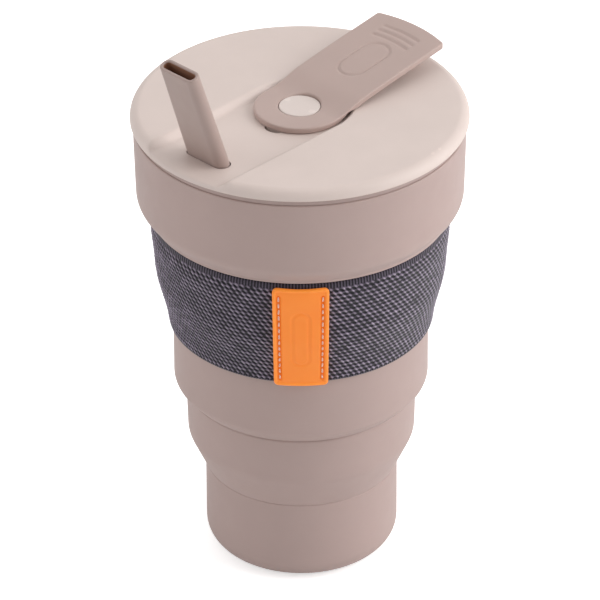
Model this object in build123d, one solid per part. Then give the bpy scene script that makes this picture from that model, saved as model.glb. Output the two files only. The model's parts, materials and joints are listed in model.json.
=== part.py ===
from build123d import *
import os
from math import cos, radians, sin, sqrt, tan

# Collapsible travel cup, in millimetres. The origin is the middle of the base's underside,
# +Z is up, and the sleeve's label faces -Y. The strap is parked towards +X +Y, and the
# straw stands on the other side of the lid, towards -X -Y.

# ---- silicone body: five stiff rings joined by four thin folding webs ----
WALL = 2.0              # radial wall of every ring and web
FLOOR = 2.4             # thickness of the cup's floor
BASE_R = 28.0           # true cylinder, so that the base fits a cup holder
BASE_TOP = 26.7
BASE_CORNER = 7.5
INNER_CORNER = 5.0
FOOT_RECESS_R = 18.5
FOOT_RECESS = 0.8
LOWER_BOTTOM_R = 33.0   # lower ring
LOWER_TOP_R = 33.4
LOWER_BOTTOM = 39.5
LOWER_TOP = 52.5
MIDDLE_R = 36.9         # middle ring
MIDDLE_BOTTOM = 58.6
MIDDLE_TOP = 82.0
UPPER_BOTTOM_R = 40.4   # upper ring, under the sleeve
UPPER_TOP_R = 41.25
UPPER_BOTTOM = 92.0
UPPER_LEDGE = 111.2     # underside of the ledge that stops the sleeve
UPPER_TOP = 112.5
LEDGE_R = 43.4
RIM_BOTTOM_R = 46.9     # rim band
RIM_TOP_R = 47.5
RIM_BOTTOM = 117.5
RIM_TOP = 139.3

# ---- stiff collar set in the mouth, and the lid that plugs into it ----
COLLAR_BOTTOM = 131.0
COLLAR_TOP = 141.1
COLLAR_INNER_R = 45.5
COLLAR_SKIRT_R = 46.3
COLLAR_LIP_R = 47.1
LID_R = 48.3
LID_UNDER = 141.2
LID_TOP = 144.4
LID_EDGE_ROUND = 2.9
LID_PLATE_UNDER = 140.6
PLUG_R = 44.9
PLUG_INNER_R = 42.9
PLUG_BOTTOM = 134.2
SEAL_FLOOR_R = 43.9
SEAL_LIP_R = 45.42
SEAL_BOTTOM = 136.0
SEAL_TOP = 139.0
SEAL_LIP_RISE = 0.5

# ---- channel in the lid, which runs from the pivot out to the straw's side ----
CHANNEL_AZIMUTH = -135.0
CHANNEL_FLOOR = 142.4
CHANNEL_FLOOR_HALF = 13.5
CHANNEL_TOP_HALF = 14.9
VENT_INNER_R = 12.7
VENT_OUTER_R = 14.1
VENT_HALF_ANGLE = 10.0
VENT_AZIMUTH = -127.0

# ---- straw: a flat tube that leans outward through the lid ----
STRAW_LONG = 14.7
STRAW_SHORT = 4.8
STRAW_WALL = 1.15
STRAW_LEAN = 18.5
STRAW_REACH = 36.2      # distance of the hole from the middle, at the channel's floor
STRAW_DOWN = 146.2      # along the straw, from the channel's floor to its foot
STRAW_UP = 34.3         # along the straw, from the channel's floor to its tip
STRAW_TIP_SCALE = 0.93
STRAW_TAPER_START = 4.0  # along the straw, above the channel's floor
STRAW_HOLE_GAP = 0.15   # across the straw's flat faces
STRAW_HOLE_END_GAP = 0.4  # at the two ends of the slot

# ---- strap: a swinging silicone strip, clipped to the lid at its round end ----
STRAP_AZIMUTH = 45.0
STRAP_HALF = 13.1
STRAP_THICK = 1.9
STRAP_END_R = 47.2      # the far end is an arc about the pivot
STRAP_CORNER_ROUND = 1.0
STRAP_FLEX_AT = 7.9     # the line that the arm flexes about
STRAP_FLEX_GAP = 0.1
STRAP_CLEAR = 0.1       # gap between the strap's underside and the lid's flat top
STRAP_SIDE_CLEAR = 0.45  # gap between the strap's underside and the recess wall
STOPPER_LONG = 14.0
STOPPER_SHORT = 4.6
BUTTON_R = 5.95
BUTTON_HEAD = 1.0
POST_R = 3.0
POST_BOTTOM = 138.4
TURN_GAP = 0.08         # running clearance between the pivot and the strap
CLIP_R = 6.2
CLIP_GROOVE_R = 2.4
CLIP_BOTTOM = 139.6
CLIP_MOUTH = 4.0

# ---- elastic sleeve and the rubber label sewn to its front ----
SLEEVE_THICK = 1.1
SLEEVE_BOTTOM = 76.6
SLEEVE_OUTLINE = [(38.4, SLEEVE_BOTTOM), (39.9, 84.5), (41.7, 92.0), (42.4, 100.0), (42.95, 105.7), (42.5, 110.8)]
LABEL_BOTTOM = 74.6
LABEL_TOP = 109.6
LABEL_THICK = 1.2
LABEL_GAP = 0.05
LABEL_TOP_HALF = 8.25
LABEL_BOTTOM_HALF = 7.65
LABEL_ROUND = 1.2
GROOVE_INSET = 1.7      # from the label's side edge to the line of stitches
GROOVE_HALF = 0.45
GROOVE_DEPTH = 0.4
STITCH_COUNT = 14
STITCH_LONG = 1.6
STITCH_HALF = 0.34
STITCH_THICK = 0.35
STITCH_FIRST = 77.6
STITCH_LAST = 107.0


def outline(start, *steps):
    """A closed face from start: a step is a point, or a (middle, end) pair for an arc."""
    edges = []
    here = start
    for step in steps:
        if isinstance(step[0], tuple):
            edges.append(ThreePointArc(here, step[0], step[1]))
            here = step[1]
        else:
            edges.append(Line(here, step))
            here = step
    if here != start:
        edges.append(Line(here, start))
    return make_face(edges)


def turned(face):
    """Revolve a radius-height face about the cup's axis."""
    return revolve(Plane.XZ * face, Axis.Z)


def corner_middle(centre_r, centre_z, radius, up):
    """The middle of a quarter-circle corner that faces outward and up or down."""
    step = radius * cos(radians(45))
    return (centre_r + step, centre_z + step * up)


def ring(bottom_r, bottom, top_r, top):
    """A plain ring with the body's wall, between two heights."""
    inner = [(top_r - WALL, top), (bottom_r - WALL, bottom)]
    return turned(outline((bottom_r, bottom), (top_r, top), *inner))


def bulged_web(bottom_r, bottom, bulge_r, bulge, top_r, top):
    """A web with a rounded shoulder: its wall passes through (bulge_r, bulge)."""
    outer = ((bulge_r, bulge), (top_r, top))
    inner = ((bulge_r - WALL, bulge), (bottom_r - WALL, bottom))
    return turned(outline((bottom_r, bottom), outer, (top_r - WALL, top), inner))


# ---- silicone body ----
def base_cup():
    low = BASE_R - BASE_CORNER
    inner_r = BASE_R - WALL
    inner_low = inner_r - INNER_CORNER
    inner_z = FLOOR + INNER_CORNER
    return turned(outline(
        (0, FOOT_RECESS),
        (FOOT_RECESS_R, FOOT_RECESS),
        (FOOT_RECESS_R + FOOT_RECESS, 0),
        (low, 0),
        (corner_middle(low, BASE_CORNER, BASE_CORNER, -1), (BASE_R, BASE_CORNER)),
        (BASE_R, BASE_TOP),
        (inner_r, BASE_TOP),
        (inner_r, inner_z),
        (corner_middle(inner_low, inner_z, INNER_CORNER, -1), (inner_low, FLOOR)),
        (0, FLOOR),
    ))


def fold_web_1():
    return bulged_web(BASE_R, BASE_TOP, 31.9, 34.6, LOWER_BOTTOM_R, LOWER_BOTTOM)


def lower_ring():
    return ring(LOWER_BOTTOM_R, LOWER_BOTTOM, LOWER_TOP_R, LOWER_TOP)


def fold_web_2():
    return bulged_web(LOWER_TOP_R, LOWER_TOP, 36.0, 55.3, MIDDLE_R, MIDDLE_BOTTOM)


def middle_ring():
    return ring(MIDDLE_R, MIDDLE_BOTTOM, MIDDLE_R, MIDDLE_TOP)


def fold_web_3():
    return bulged_web(MIDDLE_R, MIDDLE_TOP, 38.4, 87.2, UPPER_BOTTOM_R, UPPER_BOTTOM)


def upper_ring():
    return turned(outline(
        (UPPER_BOTTOM_R, UPPER_BOTTOM),
        (UPPER_TOP_R, UPPER_LEDGE),
        (LEDGE_R, UPPER_LEDGE + 0.4),
        (LEDGE_R, UPPER_TOP),
        (LEDGE_R - WALL, UPPER_TOP),
        (UPPER_TOP_R - WALL, UPPER_LEDGE - 1.0),
        (UPPER_BOTTOM_R - WALL, UPPER_BOTTOM),
    ))


def fold_web_4():
    return bulged_web(LEDGE_R, UPPER_TOP, 45.9, 114.6, RIM_BOTTOM_R, RIM_BOTTOM)


def rim_band():
    return turned(outline(
        (RIM_BOTTOM_R, RIM_BOTTOM),
        (RIM_TOP_R, RIM_TOP - 0.4),
        (RIM_TOP_R - 0.4, RIM_TOP),
        (COLLAR_SKIRT_R, RIM_TOP),
        (COLLAR_SKIRT_R, COLLAR_BOTTOM),
        (RIM_TOP_R - WALL - 0.1, COLLAR_BOTTOM),
        (RIM_BOTTOM_R - WALL, RIM_BOTTOM),
    ))


def mouth_collar():
    return turned(outline(
        (COLLAR_INNER_R, COLLAR_BOTTOM),
        (COLLAR_SKIRT_R, COLLAR_BOTTOM),
        (COLLAR_SKIRT_R, RIM_TOP),
        (COLLAR_LIP_R, RIM_TOP),
        (COLLAR_LIP_R, COLLAR_TOP),
        (COLLAR_INNER_R, COLLAR_TOP),
    ))


# ---- lid ----
def channel_cut():
    """The tapered trough that the strap's hub and the straw stand in."""
    above = LID_TOP + 1.0
    widen = (CHANNEL_TOP_HALF - CHANNEL_FLOOR_HALF) / (LID_TOP - CHANNEL_FLOOR)
    wide = CHANNEL_FLOOR_HALF + widen * (above - CHANNEL_FLOOR)
    round_end = turned(outline(
        (0, CHANNEL_FLOOR), (CHANNEL_FLOOR_HALF, CHANNEL_FLOOR), (wide, above), (0, above)))
    section = outline(
        (-CHANNEL_FLOOR_HALF, CHANNEL_FLOOR), (CHANNEL_FLOOR_HALF, CHANNEL_FLOOR),
        (wide, above), (-wide, above))
    straight = extrude(Plane.XZ * section, amount=-(LID_R + 2))
    return round_end + Rot(0, 0, CHANNEL_AZIMUTH - 90) * straight


def vent_cut():
    """A short arc slot beside the hub that lets air into the cup."""
    block = turned(outline(
        (VENT_INNER_R, LID_PLATE_UNDER - 1), (VENT_OUTER_R, LID_PLATE_UNDER - 1),
        (VENT_OUTER_R, LID_TOP), (VENT_INNER_R, LID_TOP)))
    half = VENT_OUTER_R * tan(radians(VENT_HALF_ANGLE))
    window = Pos(VENT_OUTER_R, 0, LID_TOP) * Box(VENT_OUTER_R, 2 * half, 20)
    return Rot(0, 0, VENT_AZIMUTH) * (block & window)


def straw_plane():
    """Where the straw's axis meets the channel's floor: local z runs up the straw."""
    away = Vector(cos(radians(CHANNEL_AZIMUTH)), sin(radians(CHANNEL_AZIMUTH)), 0)
    lean = radians(STRAW_LEAN)
    up = away * sin(lean) + Vector(0, 0, cos(lean))
    across = Vector(-away.Y, away.X, 0)
    origin = away * STRAW_REACH + Vector(0, 0, CHANNEL_FLOOR)
    return Plane(origin=origin, x_dir=across, z_dir=up)


def straw_hole_cut():
    slot = SlotOverall(STRAW_LONG + 2 * STRAW_HOLE_END_GAP, STRAW_SHORT + 2 * STRAW_HOLE_GAP)
    return extrude(straw_plane() * slot, amount=12, both=True)


def lid():
    low = LID_R - LID_EDGE_ROUND
    shoulder = LID_TOP - LID_EDGE_ROUND
    body = turned(outline(
        (0, LID_PLATE_UNDER),
        (PLUG_INNER_R, LID_PLATE_UNDER),
        (PLUG_INNER_R, PLUG_BOTTOM),
        (PLUG_R - 0.5, PLUG_BOTTOM),
        (PLUG_R, PLUG_BOTTOM + 0.5),
        (PLUG_R, SEAL_BOTTOM),
        (SEAL_FLOOR_R, SEAL_BOTTOM),
        (SEAL_FLOOR_R, SEAL_TOP),
        (PLUG_R, SEAL_TOP),
        (PLUG_R, LID_UNDER),
        (LID_R, LID_UNDER),
        (LID_R, shoulder),
        (corner_middle(low, shoulder, LID_EDGE_ROUND, 1), (low, LID_TOP)),
        (0, LID_TOP),
    ))
    post_hole = Pos(0, 0, LID_TOP) * Cylinder(POST_R, 20)
    return body - channel_cut() - vent_cut() - straw_hole_cut() - post_hole


def lid_seal():
    """A double-lipped ring that sits in the plug's groove."""
    low_lip = SEAL_BOTTOM + 2 * SEAL_LIP_RISE
    high_lip = SEAL_TOP - 2 * SEAL_LIP_RISE
    return turned(outline(
        (SEAL_FLOOR_R, SEAL_BOTTOM),
        (PLUG_R, SEAL_BOTTOM),
        (SEAL_LIP_R, SEAL_BOTTOM + SEAL_LIP_RISE),
        (PLUG_R, low_lip),
        (PLUG_R, high_lip),
        (SEAL_LIP_R, SEAL_TOP - SEAL_LIP_RISE),
        (PLUG_R, SEAL_TOP),
        (SEAL_FLOOR_R, SEAL_TOP),
    ))


# ---- pivot ----
def pivot_button():
    """Flat head flush with the strap, with a grooved post that goes down through the lid."""
    clip_top = LID_PLATE_UNDER
    return turned(outline(
        (0, POST_BOTTOM),
        (POST_R - 0.4, POST_BOTTOM),
        (POST_R, POST_BOTTOM + 0.4),
        (POST_R, CLIP_BOTTOM),
        (CLIP_GROOVE_R, CLIP_BOTTOM),
        (CLIP_GROOVE_R, clip_top),
        (POST_R, clip_top),
        (POST_R, LID_TOP - BUTTON_HEAD),
        (BUTTON_R, LID_TOP - BUTTON_HEAD),
        (BUTTON_R, LID_TOP - 0.2),
        (BUTTON_R - 0.2, LID_TOP),
        (0, LID_TOP),
    ))


def pivot_clip():
    """An open spring ring in the post's groove, under the lid."""
    height = LID_PLATE_UNDER - CLIP_BOTTOM
    middle = (LID_PLATE_UNDER + CLIP_BOTTOM) / 2
    disc = Pos(0, 0, middle) * (Cylinder(CLIP_R, height) - Cylinder(CLIP_GROOVE_R, height))
    mouth = Pos(CLIP_R / 2 + 1, 0, middle) * Box(CLIP_R + 2, CLIP_MOUTH, height * 2)
    return disc - mouth


# ---- strap ----
def strap_top_curve():
    """Height of the strap's top along its length: flat hub, an S-bend, then a gentle climb."""
    hub_end = (1.4, LID_TOP)
    climb = Spline(
        hub_end, (7.9, 145.6), (12.5, 147.0), (28.0, 149.2), (52.5, 152.7))
    return [Line((-STRAP_HALF - 1, LID_TOP), hub_end), climb]


def strap_outline():
    """Plan view: a round hub, straight sides and a gently curved far end."""
    corner_reach = sqrt(STRAP_END_R ** 2 - STRAP_HALF ** 2)
    face = outline(
        (0, STRAP_HALF),
        (corner_reach, STRAP_HALF),
        ((STRAP_END_R, 0), (corner_reach, -STRAP_HALF)),
        (0, -STRAP_HALF),
        ((-STRAP_HALF, 0), (0, STRAP_HALF)),
    )
    far_corners = face.vertices().sort_by(Axis.X)[-2:]
    return fillet(far_corners, STRAP_CORNER_ROUND)


def strap_blank():
    """The whole strap along +X: the side shape cut to the plan view."""
    top = strap_top_curve()
    under = [Pos(0, -STRAP_THICK, 0) * edge for edge in top]
    ends = [Line(top[0] @ 0, under[0] @ 0), Line(top[1] @ 1, under[1] @ 1)]
    side = make_face(top + under + ends)
    sheet = extrude(Plane.XZ * side, amount=STRAP_HALF + 1, both=True)
    plan = extrude(Pos(0, 0, LID_TOP - 5) * strap_outline(), amount=20)
    return sheet & plan


def strap_underside_cut():
    """The space that the lid's recess wall and flat top need as the strap swings round."""
    reach = STRAP_END_R + 5
    return turned(outline(
        (CHANNEL_FLOOR_HALF - STRAP_SIDE_CLEAR, LID_TOP - 5),
        (reach, LID_TOP - 5),
        (reach, LID_TOP + STRAP_CLEAR),
        (CHANNEL_TOP_HALF - STRAP_SIDE_CLEAR, LID_TOP + STRAP_CLEAR),
        (CHANNEL_FLOOR_HALF - STRAP_SIDE_CLEAR, CHANNEL_FLOOR),
    ))


def strap_part(low, high):
    """The strap between two distances along it, turned to its parked direction."""
    window = Pos((low + high) / 2, 0, LID_TOP) * Box(high - low, 60, 40)
    return Rot(0, 0, STRAP_AZIMUTH) * ((strap_blank() - strap_underside_cut()) & window)


def strap_hub():
    bore = Pos(0, 0, LID_TOP) * Cylinder(POST_R + TURN_GAP, 20)
    head_depth = BUTTON_HEAD + TURN_GAP
    seat = Pos(0, 0, LID_TOP - head_depth + 5) * Cylinder(BUTTON_R + TURN_GAP, 10)
    return strap_part(-20, STRAP_FLEX_AT - STRAP_FLEX_GAP) - bore - seat


def strap_arm():
    """The arm, with the flat stopper under it that fills the straw's hole."""
    arm = strap_part(STRAP_FLEX_AT + STRAP_FLEX_GAP, 60)
    slot = Rot(0, 0, 90) * SlotOverall(STOPPER_LONG, STOPPER_SHORT)
    stopper = extrude(Pos(STRAW_REACH, 0, LID_TOP + STRAP_CLEAR) * slot, amount=5)
    return arm + Rot(0, 0, STRAP_AZIMUTH) * stopper


# ---- straw ----
def straw_body(shrink, overrun):
    """The straw's outside less shrink on every side, with its ends moved out by overrun."""
    plane = straw_plane()
    full = SlotOverall(STRAW_LONG - 2 * shrink, STRAW_SHORT - 2 * shrink)
    tip = SlotOverall(
        STRAW_LONG * STRAW_TIP_SCALE - 2 * shrink, STRAW_SHORT * STRAW_TIP_SCALE - 2 * shrink)
    down = STRAW_DOWN + overrun
    lower = extrude(plane * Pos(0, 0, -down) * full, amount=down + STRAW_TAPER_START)
    upper = loft([plane * Pos(0, 0, STRAW_TAPER_START) * full, plane * Pos(0, 0, STRAW_UP) * tip])
    end = extrude(plane * Pos(0, 0, STRAW_UP) * tip, amount=overrun) if overrun else Part()
    return lower + upper + end


def straw():
    """A flat tube, cut off square at both ends."""
    return straw_body(0, 0) - straw_body(STRAW_WALL, 1)


# ---- sleeve and label ----
def sleeve_line(offset, bottom, top):
    """The sleeve's outer curve moved out by offset, cut to run from bottom to top."""
    inside = [(r + offset, z) for r, z in SLEEVE_OUTLINE if bottom + 1 < z < top - 1]
    return Spline(*([(sleeve_r(bottom) + offset, bottom)] + inside + [(sleeve_r(top) + offset, top)]))


def sleeve_r(height):
    """The sleeve's outer radius at a height, straight between its outline's points."""
    points = SLEEVE_OUTLINE
    for (r1, z1), (r2, z2) in zip(points, points[1:]):
        if height <= z2:
            break
    return r1 + (r2 - r1) * (height - z1) / (z2 - z1)


def shell(inner, outer, bottom, top):
    """A full ring of revolution between two offsets from the sleeve's outer surface."""
    near = sleeve_line(inner, bottom, top)
    far = sleeve_line(outer, bottom, top)
    ends = [Line(near @ 0, far @ 0), Line(near @ 1, far @ 1)]
    return turned(make_face([near, far] + ends))


def elastic_sleeve():
    return shell(-SLEEVE_THICK, 0, SLEEVE_BOTTOM, SLEEVE_OUTLINE[-1][1])


def label_half(height):
    """Half of the label's width at a height."""
    share = (height - LABEL_BOTTOM) / (LABEL_TOP - LABEL_BOTTOM)
    return LABEL_BOTTOM_HALF + (LABEL_TOP_HALF - LABEL_BOTTOM_HALF) * share


def front_prism(face):
    """A front-view face, x across and y up, pushed through the cup's front wall."""
    return extrude(Plane.XZ * face, amount=60)


def groove_cut(side):
    low = LABEL_BOTTOM + 1.6
    high = LABEL_TOP - 1.6
    low_x = side * (label_half(low) - GROOVE_INSET)
    high_x = side * (label_half(high) - GROOVE_INSET)
    strip = outline(
        (low_x - GROOVE_HALF, low), (low_x + GROOVE_HALF, low),
        (high_x + GROOVE_HALF, high), (high_x - GROOVE_HALF, high))
    outer = LABEL_GAP + LABEL_THICK
    return front_prism(strip) & shell(outer - GROOVE_DEPTH, outer + 1, LABEL_BOTTOM, LABEL_TOP)


def sleeve_label():
    face = outline(
        (-LABEL_BOTTOM_HALF, LABEL_BOTTOM), (LABEL_BOTTOM_HALF, LABEL_BOTTOM),
        (LABEL_TOP_HALF, LABEL_TOP), (-LABEL_TOP_HALF, LABEL_TOP))
    face = fillet(face.vertices(), LABEL_ROUND)
    blank = shell(LABEL_GAP, LABEL_GAP + LABEL_THICK, LABEL_BOTTOM - 1, LABEL_TOP + 1)
    return (blank & front_prism(face)) - groove_cut(-1) - groove_cut(1)


def label_stitching(side):
    """One column of short stitches lying in a groove of the label."""
    floor = LABEL_GAP + LABEL_THICK - GROOVE_DEPTH
    thread = shell(floor, floor + STITCH_THICK, LABEL_BOTTOM, LABEL_TOP)
    pitch = (STITCH_LAST - STITCH_FIRST) / (STITCH_COUNT - 1)
    stitches = []
    for number in range(STITCH_COUNT):
        height = STITCH_FIRST + number * pitch
        x = side * (label_half(height) - GROOVE_INSET)
        mark = Pos(x, height) * RectangleRounded(2 * STITCH_HALF, STITCH_LONG, STITCH_HALF * 0.9)
        stitches += (front_prism(mark) & thread).solids()
    return Compound(children=stitches)


PIECES = {
    "base_cup": base_cup,
    "fold_web_1": fold_web_1,
    "lower_ring": lower_ring,
    "fold_web_2": fold_web_2,
    "middle_ring": middle_ring,
    "fold_web_3": fold_web_3,
    "upper_ring": upper_ring,
    "fold_web_4": fold_web_4,
    "rim_band": rim_band,
    "mouth_collar": mouth_collar,
    "lid": lid,
    "lid_seal": lid_seal,
    "pivot_button": pivot_button,
    "pivot_clip": pivot_clip,
    "strap_hub": strap_hub,
    "strap_arm": strap_arm,
    "straw": straw,
    "elastic_sleeve": elastic_sleeve,
    "sleeve_label": sleeve_label,
    "label_stitching_left": lambda: label_stitching(-1),
    "label_stitching_right": lambda: label_stitching(1),
}

os.makedirs("parts", exist_ok=True)
for name, make in PIECES.items():
    export_step(make(), f"parts/{name}.step")
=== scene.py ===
import json
import math
from functools import lru_cache

import bpy
import numpy as np
from mathutils import Matrix, Vector
from mathutils.geometry import delaunay_2d_cdt


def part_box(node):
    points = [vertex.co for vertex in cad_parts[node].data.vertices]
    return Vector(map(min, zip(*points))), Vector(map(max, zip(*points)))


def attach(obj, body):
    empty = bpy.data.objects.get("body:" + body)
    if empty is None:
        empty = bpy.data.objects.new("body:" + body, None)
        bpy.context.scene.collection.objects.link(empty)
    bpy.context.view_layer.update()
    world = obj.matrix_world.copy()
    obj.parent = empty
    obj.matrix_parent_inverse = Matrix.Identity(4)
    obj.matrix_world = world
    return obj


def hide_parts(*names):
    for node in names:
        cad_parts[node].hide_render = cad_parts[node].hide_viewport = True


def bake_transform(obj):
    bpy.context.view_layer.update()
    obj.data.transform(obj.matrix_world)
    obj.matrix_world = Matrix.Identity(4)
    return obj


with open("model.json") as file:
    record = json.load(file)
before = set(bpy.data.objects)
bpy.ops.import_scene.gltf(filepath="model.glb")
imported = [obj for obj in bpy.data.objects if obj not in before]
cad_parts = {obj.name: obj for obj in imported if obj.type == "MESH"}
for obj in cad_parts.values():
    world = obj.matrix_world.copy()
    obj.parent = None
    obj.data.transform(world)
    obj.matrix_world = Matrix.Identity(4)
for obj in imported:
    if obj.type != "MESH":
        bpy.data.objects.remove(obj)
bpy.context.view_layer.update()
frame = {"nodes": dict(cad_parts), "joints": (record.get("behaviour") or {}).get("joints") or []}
MM = 0.001
CHANCE = np.random.default_rng(7)

# ---- sizes, in metres; heights and radii come from the frame where a node has them ----
WALL = 2.0 * MM
FLOOR_TOP = 2.4 * MM
INNER_BASE_TOP = 24 * MM       # where the base's inner line takes over from the wall's
SEAM_LOW, SEAM_MIDDLE, SEAM_HIGH = 46 * MM, 80 * MM, 101 * MM
BASE_CORNER = 7.5 * MM
PLUG_INSET = 0.52 * MM         # from the seal's lip in to the lid's plug
POST_R = 3.0 * MM
BODY_SEGMENTS = 288
LID_SEGMENTS = 640
CHANNEL_DEPTH = 2.0 * MM
CHANNEL_FLOOR_HALF = 13.2 * MM
CHANNEL_WALL = 2.7 * MM
LID_EDGE_ROUND = 2.9 * MM
VENT_AZIMUTH = -127
VENT_HALF_ANGLE = 13
VENT_INNER_R = 12.6 * MM
VENT_DEPTH = 1.5 * MM
FLOOR_EDGE_ROUND = 1.1 * MM
STRAW_LONG = 14.7 * MM
STRAW_SHORT = 4.8 * MM
STRAW_WALL = 1.0 * MM
STRAW_TIP_SCALE = 0.93
STRAW_RIM_ROUND = 0.45 * MM
STRAW_TAPER_START = 4.0 * MM
STRAP_HALF = 13.1 * MM
STRAP_THICK = 1.9 * MM
STRAP_END_R = 47.2 * MM
STRAP_CORNER_ROUND = 1.0 * MM
STRAP_EDGE_ROUND = 0.45 * MM
LABEL_THICK = 1.2 * MM
LABEL_RAISE = 0.3 * MM          # the soft top edge stands a little above its nominal height
LABEL_ROUND = 1.4 * MM
GROOVE_INSET = 1.75 * MM
STITCHES = 14
WEAVE_PERIOD = 1.82 * MM       # along the sleeve, from one diagonal rib to the next
WEAVE_ROW = 1.333 * MM         # up the sleeve, from one cross thread to the next
WEAVE_SHEAR = 0.782            # how far a rib moves round the sleeve for each step down
WEAVE_RELIEF = 0.42 * MM
RIB_POINTS = 8                 # mesh columns to each rib
HEM_TOP = 1.8 * MM
HEM_BOTTOM = 0.8 * MM
CREASE = 0.35 * MM             # depth of the moulded line at the foot of a fold
ROLL = 3.5 * MM                # height of the web under the rim that bends, below the lid's folded plug
WEB_THINNING = 0.7 * MM        # how much thinner that web is than the wall, to pass over the label
SLEEVE_SAG = 1.2 * MM          # how far the soft lower edge hangs below its nominal height

joints = {joint["name"]: joint for joint in frame["joints"]}


@lru_cache(maxsize=None)
def low(node):
    """The lowest height of a node."""
    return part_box(node)[0][2]


@lru_cache(maxsize=None)
def high(node):
    """The greatest height of a node."""
    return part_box(node)[1][2]


def node_points(node):
    """A node's vertices as distance from the cup's axis, and height."""
    vertices = frame["nodes"][node].data.vertices
    flat = np.empty(len(vertices) * 3)
    vertices.foreach_get("co", flat)
    points = flat.reshape(-1, 3)
    return np.hypot(points[:, 0], points[:, 1]), points[:, 2]


@lru_cache(maxsize=None)
def half_width(node):
    """The greatest distance of a node to the right of the cup's axis."""
    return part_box(node)[1][0]


@lru_cache(maxsize=None)
def reach(node):
    """The greatest distance of a node from the cup's axis."""
    return float(node_points(node)[0].max())


def ease(value):
    """A smooth step from 0 to 1 as value goes from 0 to 1."""
    value = np.clip(value, 0, 1)
    return value * value * (3 - 2 * value)


# ---- mesh tools ----
def make_piece(name, points, faces, material, sharp=35):
    """A smooth-shaded mesh object whose edges sharper than an angle stay sharp."""
    mesh = bpy.data.meshes.new(name)
    mesh.from_pydata(np.asarray(points).tolist(), [], faces)
    mesh.update()
    mesh.materials.append(material)
    mesh.polygons.foreach_set("use_smooth", [True] * len(mesh.polygons))
    mesh.set_sharp_from_angle(angle=math.radians(sharp))
    piece = bpy.data.objects.new(name, mesh)
    bpy.context.scene.collection.objects.link(piece)
    return piece


def mark(piece, name, values):
    """Store one number per vertex, for the material to read."""
    attribute = piece.data.attributes.new(name, "FLOAT", "POINT")
    attribute.data.foreach_set("value", np.asarray(values, dtype=np.float32))


def rounded(corners, turn=6.0):
    """A polyline through corners, each (x, y, round), with arcs at the rounded ones."""
    line = []
    for index, (x, y, radius) in enumerate(corners):
        here = np.array([x, y])
        if radius <= 0:
            line.append(here)
            continue
        back = np.array(corners[index - 1][:2]) - here
        ahead = np.array(corners[(index + 1) % len(corners)][:2]) - here
        back /= np.linalg.norm(back)
        ahead /= np.linalg.norm(ahead)
        half = math.acos(np.clip(back @ ahead, -1, 1)) / 2
        middle = (back + ahead) / np.linalg.norm(back + ahead)
        centre = here + middle * radius / math.sin(half)
        first = here + back * radius / math.tan(half) - centre
        last = here + ahead * radius / math.tan(half) - centre
        start = math.atan2(first[1], first[0])
        sweep = math.atan2(last[1], last[0]) - start
        sweep = (sweep + math.pi) % (2 * math.pi) - math.pi
        steps = max(2, math.ceil(abs(math.degrees(sweep)) / turn))
        for step in range(steps + 1):
            angle = start + sweep * step / steps
            line.append(centre + radius * np.array([math.cos(angle), math.sin(angle)]))
    return np.array(line)


def closer(line, spacing):
    """The same polyline with extra points, so that no two are further apart than spacing."""
    dense = [line[0]]
    for first, last in zip(line, line[1:]):
        steps = max(1, math.ceil(np.linalg.norm(last - first) / spacing))
        for step in range(1, steps + 1):
            dense.append(first + (last - first) * step / steps)
    return np.array(dense)


def between(line, start, end):
    """The stretch of a rising polyline from one height to another."""
    heights = line[:, 1]
    inside = line[(heights > start + 0.01 * MM) & (heights < end - 0.01 * MM)]
    ends = [[np.interp(z, heights, line[:, 0]), z] for z in (start, end)]
    return np.vstack([ends[:1], inside, ends[1:]])


def lathe(name, profile, material, segments=BODY_SEGMENTS, closed=True, sharp=35):
    """Turn a radius-height profile, listed anticlockwise, about the cup's axis."""
    angles = np.arange(segments) * 2 * math.pi / segments
    around = np.stack([np.cos(angles), np.sin(angles)], axis=1)
    points = []
    rows = []
    for radius, height in profile:
        if radius < 1e-7:
            rows.append([len(points)] * segments)
            points.append((0.0, 0.0, height))
        else:
            rows.append(list(range(len(points), len(points) + segments)))
            points += [(x * radius, y * radius, height) for x, y in around]
    faces = []
    pairs = list(zip(rows, rows[1:]))
    if closed:
        pairs.append((rows[-1], rows[0]))
    for under, over in pairs:
        for k in range(segments):
            m = (k + 1) % segments
            if under[k] == under[m]:
                faces.append((under[k], over[m], over[k]))
            elif over[k] == over[m]:
                faces.append((under[k], under[m], over[k]))
            else:
                faces.append((under[k], under[m], over[m], over[k]))
    return make_piece(name, points, faces, material, sharp)


def inside_loop(loop, points):
    """Which points are inside a closed loop."""
    x, y = points[:, 0, None], points[:, 1, None]
    x1, y1 = loop[:, 0], loop[:, 1]
    x2, y2 = np.roll(x1, -1), np.roll(y1, -1)
    crosses = (y1 > y) != (y2 > y)
    slope = (x2 - x1) / np.where(y2 == y1, 1e-12, y2 - y1)
    return (np.count_nonzero(crosses & (x < x1 + (y - y1) * slope), axis=1) % 2) == 1


def loop_distance(loop, points):
    """How far each point is from the nearest stretch of a closed loop."""
    start = loop
    step = np.roll(loop, -1, axis=0) - loop
    best = np.full(len(points), np.inf)
    for a, d in zip(start, step):
        share = np.clip(((points - a) @ d) / max(d @ d, 1e-18), 0, 1)
        best = np.minimum(best, np.linalg.norm(points - a - share[:, None] * d, axis=1))
    return best


def inset(loop, distance):
    """The loop moved to its left, which is inward for an anticlockwise one."""
    tangent = np.roll(loop, -1, axis=0) - np.roll(loop, 1, axis=0)
    tangent /= np.linalg.norm(tangent, axis=1)[:, None]
    return loop + distance * np.stack([-tangent[:, 1], tangent[:, 0]], axis=1)


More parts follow.
